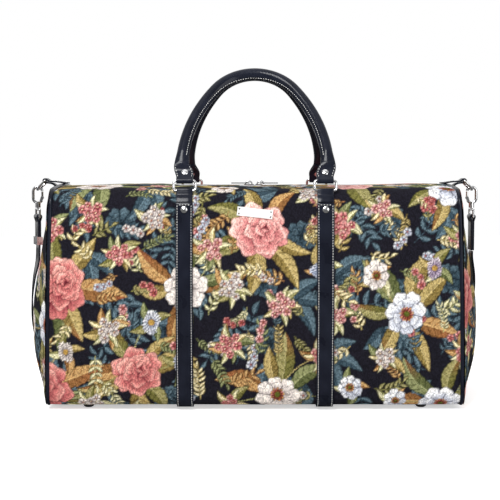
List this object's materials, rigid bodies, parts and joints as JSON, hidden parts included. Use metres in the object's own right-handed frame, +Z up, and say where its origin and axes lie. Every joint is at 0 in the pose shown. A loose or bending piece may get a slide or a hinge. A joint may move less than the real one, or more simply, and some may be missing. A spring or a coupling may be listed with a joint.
{
  "type": "carpet bag",
  "caption": "Floral tapestry travel bag with a zipped top, rolled leather handles on metal rings, leather straps and piping, domed feet and a clip-on shoulder strap.",
  "frame": {"origin": "On the floor under the middle of the bag, without its shoulder strap", "axes": "+X to the right along the length, -Y out of the front, +Z up"},
  "size_m": [0.6221, 0.2904, 0.4515],
  "materials": {
    "tapestry": "ribbed floral tapestry on a near-black ground",
    "black_leather": "smooth black leather, white stitching",
    "nickel": "polished nickel",
    "lining_cloth": "plain cotton lining",
    "base_stiffener": "plain board",
    "zip_tape": "woven black tape",
    "zip_coil": "black nylon coil",
    "handle_cord": "twisted cotton cord"
  },
  "bodies": {
    "bag": {"front_panel": "tapestry", "back_panel": "tapestry", "bottom_panel": "tapestry", "left_gusset": "tapestry", "right_gusset": "tapestry", "left_piping": "black_leather", "right_piping": "black_leather", "lining": "lining_cloth", "base_board": "base_stiffener", "feet": "nickel", "zip_tape_front": "zip_tape", "zip_tape_back": "zip_tape", "zip_coil_front": "zip_coil", "zip_coil_back": "zip_coil", "zip_stops": "nickel", "left_strap": "black_leather", "right_strap": "black_leather", "strap_rivets": "nickel", "front_left_loop": "black_leather", "front_right_loop": "black_leather", "back_left_loop": "black_leather", "back_right_loop": "black_leather", "front_plate": "nickel", "plate_pins": "nickel", "left_end_tab": "black_leather", "right_end_tab": "black_leather", "shoulder_strap": "black_leather"},
    "left_slider": {"left_slider": "nickel"},
    "left_pull": {"left_pull": "nickel"},
    "right_slider": {"right_slider": "nickel"},
    "right_pull": {"right_pull": "nickel"},
    "front_left_ring": {"front_left_ring": "nickel"},
    "front_right_ring": {"front_right_ring": "nickel"},
    "back_left_ring": {"back_left_ring": "nickel"},
    "back_right_ring": {"back_right_ring": "nickel"},
    "front_handle": {"front_left_tab": "black_leather", "front_right_tab": "black_leather", "front_handle": "black_leather", "front_handle_core": "handle_cord", "front_handle_rivets": "nickel"},
    "back_handle": {"back_left_tab": "black_leather", "back_right_tab": "black_leather", "back_handle": "black_leather", "back_handle_core": "handle_cord", "back_handle_rivets": "nickel"},
    "left_d_ring": {"left_d_ring": "nickel", "left_hook": "nickel"},
    "right_d_ring": {"right_d_ring": "nickel", "right_hook": "nickel"},
    "left_gate": {"left_gate": "nickel"},
    "right_gate": {"right_gate": "nickel"},
    "left_swivel": {"left_swivel_eye": "nickel", "left_strap_end": "black_leather"},
    "right_swivel": {"right_swivel_eye": "nickel", "right_strap_end": "black_leather"},
    "adjuster": {"strap_adjuster": "nickel"}
  },
  "joints": [
    {"name": "front_left_ring_swing", "type": "hinge", "parent": "bag", "child": "front_left_ring", "pos_m": [-0.091, -0.10275, 0.28636], "axis": [1, 0, 0], "range_deg": [0, 95]},
    {"name": "front_right_ring_swing", "type": "hinge", "parent": "bag", "child": "front_right_ring", "pos_m": [0.091, -0.10275, 0.28636], "axis": [1, 0, 0], "range_deg": [0, 95]},
    {"name": "front_handle_swing", "type": "hinge", "parent": "front_left_ring", "child": "front_handle", "pos_m": [0, -0.09961, 0.29898], "axis": [1, 0, 0], "range_deg": [0, 90]},
    {"name": "back_left_ring_swing", "type": "hinge", "parent": "bag", "child": "back_left_ring", "pos_m": [-0.091, 0.10275, 0.28636], "axis": [-1, 0, 0], "range_deg": [0, 95]},
    {"name": "back_right_ring_swing", "type": "hinge", "parent": "bag", "child": "back_right_ring", "pos_m": [0.091, 0.10275, 0.28636], "axis": [-1, 0, 0], "range_deg": [0, 95]},
    {"name": "back_handle_swing", "type": "hinge", "parent": "back_left_ring", "child": "back_handle", "pos_m": [0, 0.09961, 0.29898], "axis": [-1, 0, 0], "range_deg": [0, 90]},
    {"name": "left_slider_run", "type": "slide", "parent": "bag", "child": "left_slider", "axis": [-1, 0, 0], "range_m": [0, 0.195]},
    {"name": "right_slider_run", "type": "slide", "parent": "bag", "child": "right_slider", "axis": [1, 0, 0], "range_m": [0, 0.195]},
    {"name": "left_pull_flip", "type": "hinge", "parent": "left_slider", "child": "left_pull", "pos_m": [-0.008, 0, 0.29535], "axis": [0, 1, 0], "range_deg": [0, 100]},
    {"name": "right_pull_flip", "type": "hinge", "parent": "right_slider", "child": "right_pull", "pos_m": [0.008, 0, 0.29535], "axis": [0, -1, 0], "range_deg": [0, 100]},
    {"name": "left_d_ring_swing", "type": "hinge", "parent": "bag", "child": "left_d_ring", "pos_m": [-0.287, 0, 0.29835], "axis": [0, 1, 0], "range_deg": [0, 40]},
    {"name": "right_d_ring_swing", "type": "hinge", "parent": "bag", "child": "right_d_ring", "pos_m": [0.287, 0, 0.29835], "axis": [0, -1, 0], "range_deg": [0, 40]},
    {"name": "left_gate_open", "type": "hinge", "parent": "left_d_ring", "child": "left_gate", "pos_m": [-0.29272, 0, 0.27518], "axis": [0, -1, 0], "range_deg": [0, 22], "stiffness_Nm_per_rad": 0.02, "springref_deg": -17.19},
    {"name": "right_gate_open", "type": "hinge", "parent": "right_d_ring", "child": "right_gate", "pos_m": [0.29272, 0, 0.27518], "axis": [0, 1, 0], "range_deg": [0, 22], "stiffness_Nm_per_rad": 0.02, "springref_deg": -17.19},
    {"name": "left_swivel_turn", "type": "hinge", "parent": "left_d_ring", "child": "left_swivel", "pos_m": [-0.29902, 0, 0.262], "axis": [0, 0, 1], "range_deg": [-50, 5]},
    {"name": "right_swivel_turn", "type": "hinge", "parent": "right_d_ring", "child": "right_swivel", "pos_m": [0.29902, 0, 0.262], "axis": [0, 0, 1], "range_deg": [-30, 30]},
    {"name": "adjuster_slide", "type": "slide", "parent": "left_swivel", "child": "adjuster", "axis": [0, 0, 1], "range_m": [0, 0.02]}
  ],
  "couplings": [
    {"joint": "front_right_ring_swing", "follows": "front_left_ring_swing", "ratio": 1},
    {"joint": "back_right_ring_swing", "follows": "back_left_ring_swing", "ratio": 1}
  ]
}
